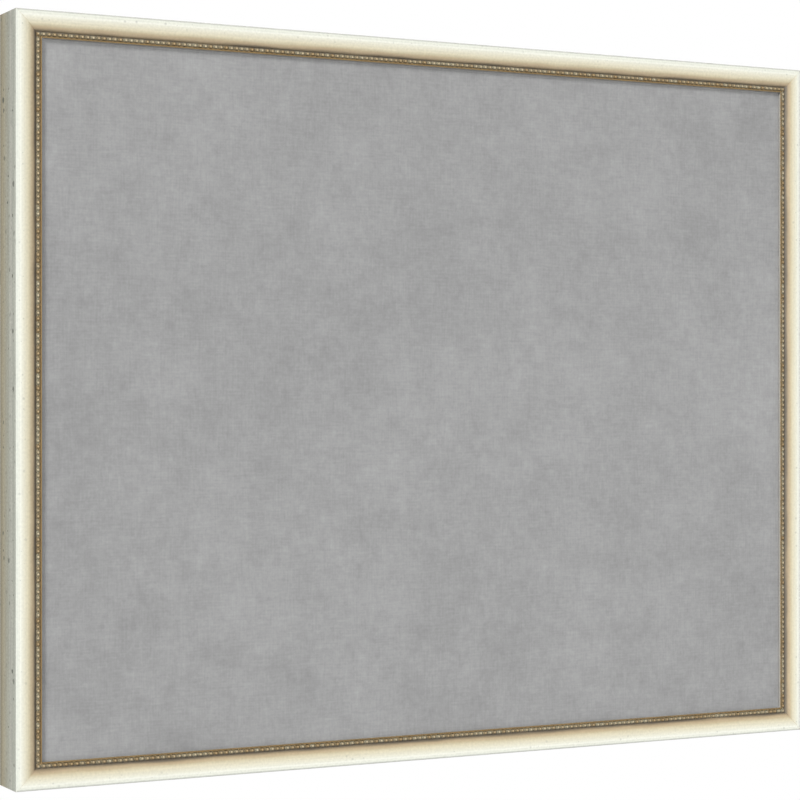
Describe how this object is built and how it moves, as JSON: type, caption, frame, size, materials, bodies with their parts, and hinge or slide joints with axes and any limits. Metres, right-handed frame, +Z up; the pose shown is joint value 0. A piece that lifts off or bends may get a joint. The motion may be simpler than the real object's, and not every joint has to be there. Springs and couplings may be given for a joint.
{
  "type": "framed magnetic board",
  "caption": "Magnetic board: grey painted steel sheet in a mitred ivory moulding with a gilt bead edge, backed and hung on hinged D-rings.",
  "frame": {"origin": "centre of the board's outline in the wall plane, where the rear bumpers touch the wall", "axes": "+X to the viewer's right along the width, +Y towards the wall, +Z up; the board faces -Y"},
  "size_m": [0.53, 0.0334, 0.4284],
  "materials": {
    "ivory_moulding": "ivory paint with an umber glaze in the cove, satin",
    "gilt_bead": "antiqued gilt over composition, satin",
    "grey_steel": "matt mottled grey powder coat",
    "hardboard": "bare tempered hardboard, matt",
    "zinc_hardware": "zinc plated, satin",
    "rubber_bumper": "black moulded rubber, matt"
  },
  "bodies": {
    "board": {"top_rail": "ivory_moulding", "right_stile": "ivory_moulding", "bottom_rail": "ivory_moulding", "left_stile": "ivory_moulding", "bead_strip_top": "gilt_bead", "bead_strip_right": "gilt_bead", "bead_strip_bottom": "gilt_bead", "bead_strip_left": "gilt_bead", "steel_sheet": "grey_steel", "backing_board": "hardboard", "framer_point_top_1": "zinc_hardware", "framer_point_top_2": "zinc_hardware", "framer_point_top_3": "zinc_hardware", "framer_point_top_4": "zinc_hardware", "framer_point_right_1": "zinc_hardware", "framer_point_right_2": "zinc_hardware", "framer_point_right_3": "zinc_hardware", "framer_point_bottom_1": "zinc_hardware", "framer_point_bottom_2": "zinc_hardware", "framer_point_bottom_3": "zinc_hardware", "framer_point_bottom_4": "zinc_hardware", "framer_point_left_1": "zinc_hardware", "framer_point_left_2": "zinc_hardware", "framer_point_left_3": "zinc_hardware", "v_nail_top_left_outer": "zinc_hardware", "v_nail_top_left_inner": "zinc_hardware", "v_nail_top_right_outer": "zinc_hardware", "v_nail_top_right_inner": "zinc_hardware", "v_nail_bottom_right_outer": "zinc_hardware", "v_nail_bottom_right_inner": "zinc_hardware", "v_nail_bottom_left_outer": "zinc_hardware", "v_nail_bottom_left_inner": "zinc_hardware", "bumper_top_left": "rubber_bumper", "bumper_top_right": "rubber_bumper", "bumper_bottom_right": "rubber_bumper", "bumper_bottom_left": "rubber_bumper", "hanger_strap_left": "zinc_hardware", "hanger_screw_left": "zinc_hardware", "hanger_strap_right": "zinc_hardware", "hanger_screw_right": "zinc_hardware"},
    "left_ring": {"d_ring_left": "zinc_hardware"},
    "right_ring": {"d_ring_right": "zinc_hardware"}
  },
  "joints": [
    {"name": "left_ring_hinge", "type": "hinge", "parent": "board", "child": "left_ring", "pos_m": [-0.25975, -0.0028, 0.0722], "axis": [1, 0, 0], "range_deg": [0, 180]},
    {"name": "right_ring_hinge", "type": "hinge", "parent": "board", "child": "right_ring", "pos_m": [0.25975, -0.0028, 0.0722], "axis": [1, 0, 0], "range_deg": [0, 180]}
  ]
}
